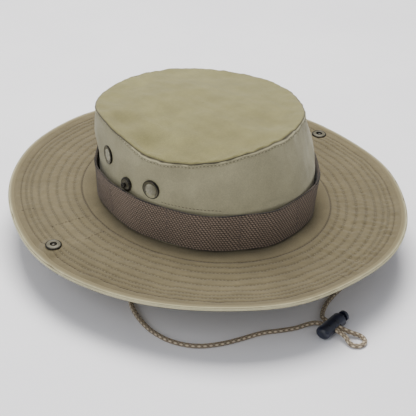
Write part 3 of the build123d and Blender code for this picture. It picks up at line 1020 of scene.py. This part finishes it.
def make_binding(side):
    """The tape that wraps the edge of one half brim, pale along its roll as a painted highlight.
    """
    turn = half_turns(side, BRIM_COLUMNS)[:, None]
    profile = np.array(BINDING_PROFILE) * MM
    inset, height = profile.T
    x, y = brim_place(turn, inset)
    swell = 1 + 0.06 * fine_ripple(x, y)
    points = stacked(x, y, brim_middle(turn, inset) + height * swell)
    around_edge = travel(profile)
    # The painted shade values darken the tape inward of 0.8 to 2.8 mm, leaving a painted
    # highlight along the rolled edge.
    piece = grid_piece(f"{side}_brim_binding", points, edge_highlight_cloth, False, True,
                       smooth_step(inset, 0.8 * MM, 2.8 * MM),
                       (turn * (EDGE_A + EDGE_B) / 2, around_edge))
    fold_brim(piece, side, "binding", f"{side}_flap_binding", "brim_front_binding",
              "brim_back_binding")


def brim_rows(side, up, insets, lift):
    """The paths of the rows of stitches on one face of one half brim."""
    turn = half_turns(side, 500)
    rows = []
    for inset in insets:
        path = brim_face(turn, np.full_like(turn, inset), up)
        path[:, 2] += up * lift
        rows.append((path, np.tile([0, 0, up], (len(turn), 1))))
    return rows


# Short rows across the wearer's right brim: azimuth in degrees, first and last radius in mm
BRIM_JOINS = [(167, 107, 142), (180, 109, 129), (155, 147, 159)]


def brim_join(azimuth, first, last):
    """The path of a short radial row on the brim's upper face."""
    turn = np.full(30, math.radians(azimuth))
    path = brim_face(turn, EDGE_A - np.linspace(first, last, 30) * MM, 1)
    path[:, 2] += 0.2 * MM
    return path, np.tile([0, 0, 1], (30, 1))


def make_brim(side):
    """One half of the brim: two cloths, interlining, binding and stitches."""
    brim_sheet(side, "brim_top_twill", 1, BRIM_COLUMNS, BRIM_ROWS,
               "brim_top_cloth", f"{side}_flap_top_cloth")
    brim_sheet(side, "brim_under_twill", -1, 200, 90,
               "brim_under_cloth", f"{side}_flap_under_cloth")
    brim_stack(side)
    make_binding(side)
    rows = brim_rows(side, 1, ROW_INSETS[:-1], 0.02 * MM)
    rows += brim_rows(side, -1, [*ROW_INSETS, SEAM_INSET], 0.12 * MM)
    stitches = stitch_piece(f"{side}_brim_stitches", rows, thread)
    marked = brim_rows(side, 1, [ROW_INSETS[-1], SEAM_INSET], 0.2 * MM)
    if side == "right":
        marked += [brim_join(*join) for join in BRIM_JOINS]
    dark_rows = stitch_piece(f"{side}_brim_dark_stitches", marked, dark_thread)
    for piece in (stitches, dark_rows):
        fold_brim(piece, side, "thread")


# ---- Inside the crown


def make_sweatband():
    """The sweatband inside the head opening, with a rolled lower edge and a stitch row."""
    turn = turns(300)
    low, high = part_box("sweatband")
    height = np.linspace(low.z, high.z, 24)
    profile = [(1.3, low.z + 1.2 * MM), (0.5, low.z - 0.1 * MM), (0.15, low.z + 0.3 * MM)]
    profile += [(0.0, z) for z in height[2:-1]] + [(0.2, high.z), (1.2, high.z - 0.2 * MM)]
    back, z = np.array(profile).T
    back = back * MM
    inner_a, inner_b = high.x - 1.4 * MM, high.y - 1.4 * MM
    wave = 0.35 * MM * wall_ripple(*oval(inner_a, inner_b, turn), z)
    out = back + 0.4 * MM - wave * smooth_step(back, 0.2 * MM, 0)
    x, y = oval(inner_a + out, inner_b + out, turn)
    points = stacked(x, y, z)
    # Painted shade along the stitch row.
    painted_shade = 0.5 * hump(z - low.z - SWEATBAND_ROW, 0.6 * MM)
    band = grid_piece("sweatband_lining", points, lining_cloth, True, True, painted_shade,
                      (turn * inner_a, z))
    thicken(band, 0.8 * MM)
    dress(band, "hat", "lining", "sweatband")
    line = np.linspace(0, 2 * np.pi, 400)
    x, y = oval(inner_a + 0.3 * MM, inner_b + 0.3 * MM, line)
    path = stacked(x, y, low.z + SWEATBAND_ROW)
    inward = -stacked(np.cos(line), np.sin(line), 0)
    row = stitch_piece("sweatband_stitches", [(path, inward)], thread)
    dress(row, "hat", "thread")


def make_tapes():
    """The tapes over the tip seam and over the wall's back seam, inside the crown."""
    turn = turns(240)
    rim = rim_height(turn)
    depth = np.linspace(1.5, 9.5, 10) * MM
    share = (rim - depth - FOOT_Z) / (rim - FOOT_Z)
    points = wall_surface(turn, share, TAPE_INSET)
    tape = grid_piece("tip_seam_tape_cloth", points, tape_cloth, True, False, 0,
                      (turn * WALL_A, depth))
    back_low, back_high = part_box("back_seam_tape")
    across = np.linspace(-6, 6, 9)[:, None] * MM / WALL_A
    height = np.linspace(back_low.z, back_high.z, 30)
    turn = np.pi / 2 + across
    share = (height - FOOT_Z) / (rim_height(turn) - FOOT_Z)
    points = wall_surface(turn, share, TAPE_INSET)
    strip = grid_piece("back_seam_tape_cloth", points, tape_cloth, False, False, 0,
                       (across * WALL_A, height))
    for piece, node in ((tape, "tip_seam_tape"), (strip, "back_seam_tape")):
        thicken(piece, TAPE, 0)
        dress(piece, "hat", "tape", node)


# ---- Snaps and vents


def lathe(name, profile, origin, normal, material, inner=None):
    """A turned piece: (radius, height) in mm round an axis. Inner is a second material and
    the first and last places of the profile between which it shows."""
    turn_to = Vector(normal).to_track_quat("Z", "Y").to_matrix()
    turn = turns(LATHE_SIDES)
    radius, height = np.array(profile).T * MM
    local = stacked(np.cos(turn) * radius, np.sin(turn) * radius, height)
    points = local @ np.array(turn_to).T + np.array(origin)
    piece = new_piece(name, points, grid_faces(LATHE_SIDES, len(profile), True), material)
    if inner:
        second, first_place, last_place = inner
        piece.data.materials.append(second)
        for face in piece.data.polygons:
            if first_place <= min(face.vertices) % len(profile) < last_place:
                face.material_index = 1
    return piece


VENT_PROFILE = [
    (5.0, -3.2), (5.0, -0.4), (5.15, 0.1), (5.5, 0.3), (6.2, 0.42), (6.9, 0.62), (7.3, 0.95),
    (7.6, 1.1), (7.85, 1.0), (8.0, 0.7), (8.0, 0.2), (7.95, -0.9), (6.3, -0.9), (6.2, -3.2),
    (5.0, -3.2),
]
WASHER_PROFILE = [
    (6.2, -0.9), (6.2, -2.3), (6.5, -2.6), (7.2, -2.55), (7.6, -2.2), (7.6, -0.9), (6.2, -0.9),
]
STUD_PROFILE = [
    (0.01, -1.9), (5.5, -1.0), (5.85, -0.8), (6.0, 0.1), (5.95, 0.7), (5.6, 1.1), (5.0, 1.25),
    (4.5, 1.0), (3.9, 0.75), (2.6, 0.72), (2.0, 0.85), (1.8, 1.3), (1.8, 2.6), (2.25, 2.9),
    (2.42, 3.4), (2.35, 3.9), (1.9, 4.15), (1.2, 4.2), (0.9, 3.8), (0.01, 3.7),
]
SOCKET_PROFILE = [
    (6.6, -0.5), (6.8, 0.0), (6.85, 0.5), (6.75, 0.95), (6.45, 1.2), (6.05, 1.2), (5.8, 0.95),
    (5.2, 0.9), (4.4, 1.1), (3.6, 1.35), (3.0, 1.4), (2.75, 1.2), (2.65, 0.6), (2.5, 0.12),
    (0.01, 0.1),
]
CAP_PROFILE = [
    (0.01, 0.9), (1.0, 0.88), (2.2, 0.62), (3.0, 0.6), (4.6, 0.85), (6.2, 0.85), (7.1, 0.65),
    (7.5, 0.3), (7.5, 0.0), (7.3, -0.3),
]
WIRE_PITCH = 1.15 * MM
WIRE_RADIUS = 0.2 * MM
SCREEN_RADIUS = 5.0 * MM
LATHE_SIDES = 40
STUD_HEIGHT = 4.2 * MM


def screen_mesh(origin, normal, name):
    """Woven wires across a vent, each passing over and under the ones it crosses."""
    wires = []
    turn_to = np.array(Vector(normal).to_track_quat("Z", "Y").to_matrix())
    count = int(SCREEN_RADIUS / WIRE_PITCH)
    corners = turns(5)[:, 0]
    ring = stacked(0, np.cos(corners), np.sin(corners))
    for way in (0, 1):
        for k in range(-count, count + 1):
            offset = k * WIRE_PITCH
            half = math.sqrt(SCREEN_RADIUS ** 2 - offset ** 2)
            along = np.linspace(-half, half, int(half / WIRE_PITCH * 4))
            wave = WIRE_RADIUS * np.cos(np.pi * (along / WIRE_PITCH + (k + way) % 2))
            tube = stacked(along, offset, wave)[:, None] + WIRE_RADIUS * ring
            tube = (tube[..., [1, 0, 2]] if way else tube).reshape(-1, 3)
            wires.append((tube, rolled(grid_faces(len(along), 6), 5)))
    points, faces = joined(wires)
    return new_piece(name, points @ turn_to.T + np.array(origin), faces, vent_wire)


def make_vents():
    """Four screen vents, each a rolled metal ring, a woven screen and a washer."""
    for side in SIDES:
        for place in ("back", "front"):
            vent = f"{side}_{place}_vent"
            centre = box_centre(f"{vent}_screen")
            normal = Vector((centre.x / WALL_A ** 2, centre.y / WALL_B ** 2, 0)).normalized()
            face = centre - normal * 0.2 * MM
            # The ring's rolled bead and outer side take the dark snap metal as a painted shade
            # outline round the vent.
            ring = lathe(f"{vent}_ring", VENT_PROFILE, face, normal, vent_metal,
                         (snap_metal, 6, 12))
            screen = screen_mesh(face + normal * 0.5 * MM, normal, f"{vent}_wires")
            washer = lathe(f"{vent}_back_ring", WASHER_PROFILE, face, normal, vent_metal)
            dress(ring, "hat", "vent_metal", f"{vent}_shell")
            dress(screen, "hat", "vent_screen", f"{vent}_screen")
            dress(washer, "hat", "vent_metal", f"{vent}_washer")


def make_snaps():
    """A stud on each side of the crown and a socket on each side of the brim."""
    for side, sign in SIDES.items():
        low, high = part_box(f"{side}_snap_stud")
        top_x = high.x if sign > 0 else low.x
        face = Vector((top_x - sign * STUD_HEIGHT, (low.y + high.y) / 2, (low.z + high.z) / 2))
        normal = Vector((sign, 0, 0))
        stud = lathe(f"{side}_stud_metal", STUD_PROFILE, face, normal, snap_metal,
                     (snap_dish, 7, 11))
        inner_cap = lathe(f"{side}_stud_back", [(r * 0.77, h) for r, h in CAP_PROFILE],
                          face - normal * 1.1 * MM, -normal, snap_metal)
        x, y, _ = box_centre(f"{side}_snap_socket")
        socket = lathe(f"{side}_socket_metal", SOCKET_PROFILE, (x, y, BRIM_TOP),
                       (0, 0, 1), snap_metal, (snap_dish, 6, 10))
        cap = lathe(f"{side}_socket_back", CAP_PROFILE, (x, y, -BRIM_TOP), (0, 0, -1),
                    snap_metal)
        for piece, node, body in (
            (stud, "snap_stud", "hat"), (inner_cap, "stud_cap", "hat"),
            (socket, "snap_socket", f"{side}_flap"), (cap, "socket_cap", f"{side}_flap"),
        ):
            dress(piece, body, "snap_metal", f"{side}_{node}")


# ---- Cord tabs and lock


def make_tabs():
    """The folded tape that holds each end of the cord under the brim."""
    for side in SIDES:
        low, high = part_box(f"{side}_cord_tab")
        centre = (low + high) / 2
        half_x, half_y = (high.x - low.x) / 2, (high.y - low.y) / 2
        turn = turns(48)
        level = np.linspace(0, 1, 16)[None]
        corner = (np.abs(np.cos(turn)) ** 6 + np.abs(np.sin(turn)) ** 6) ** (-1 / 6)
        narrow = 1 - 0.30 * smooth_step(level, 0.55, 1.0)
        end = np.sqrt(np.clip(1 - smooth_step(level, 0.9, 1.0) ** 2 * 0.75, 0, 1))
        x = centre.x + half_x * np.cos(turn) * corner * narrow * end
        y = centre.y + half_y * np.sin(turn) * corner * end
        points = stacked(x, y, high.z + level * (low.z - high.z))
        rows, columns = points.shape[:2]
        faces = grid_faces(rows, columns, True, True)
        faces.append([k * columns + columns - 1 for k in range(rows)])
        tab = new_piece(f"{side}_cord_tab_tape", points, faces, tape_cloth)
        # Painted shade in a line round the tape, about a third of the way down.
        set_values(tab, "painted_shade", 0.5 * hump(level - 0.3, 0.05) + 0 * turn)
        set_uv(tab, turn * 5 * MM + 0 * level, points[..., 2])
        dress(tab, "hat", "tape", f"{side}_cord_tab")


def dress_cad_nodes():
    """The lock keeps its frame shapes and gets moulded plastic."""
    for node in ("lock_body", "lock_plunger"):
        for material_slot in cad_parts[node].material_slots:
            material_slot.material = lock_plastic


def make_spring():
    """The lock's spring, which shortens as the button is pressed."""
    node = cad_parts["lock_spring"]
    places = [node.matrix_world @ vertex.co for vertex in node.data.vertices]
    faces = [tuple(face.vertices) for face in node.data.polygons]
    spring = new_piece("lock_spring_wire", np.array(places), faces, spring_wire)
    dress(spring, "cord_lock", "spring_wire", "lock_spring")
    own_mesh(spring)


def make_floor():
    """A wide pale floor at the height where the cord lies."""
    signs = ((-1, -1), (1, -1), (1, 1), (-1, 1))
    corners = [(x * FLOOR_SIZE, y * FLOOR_SIZE, FLOOR_Z) for x, y in signs]
    floor = new_piece("floor", corners, [(0, 1, 2, 3)], floor_material())


make_camera()
make_lights()
make_floor()
make_cord()
make_wall()
make_tip()
make_crown_seams()
make_band()
make_bar_tacks()
for half in SIDES:
    make_brim(half)
make_sweatband()
make_tapes()
make_vents()
make_snaps()
make_tabs()
make_spring()
dress_cad_nodes()
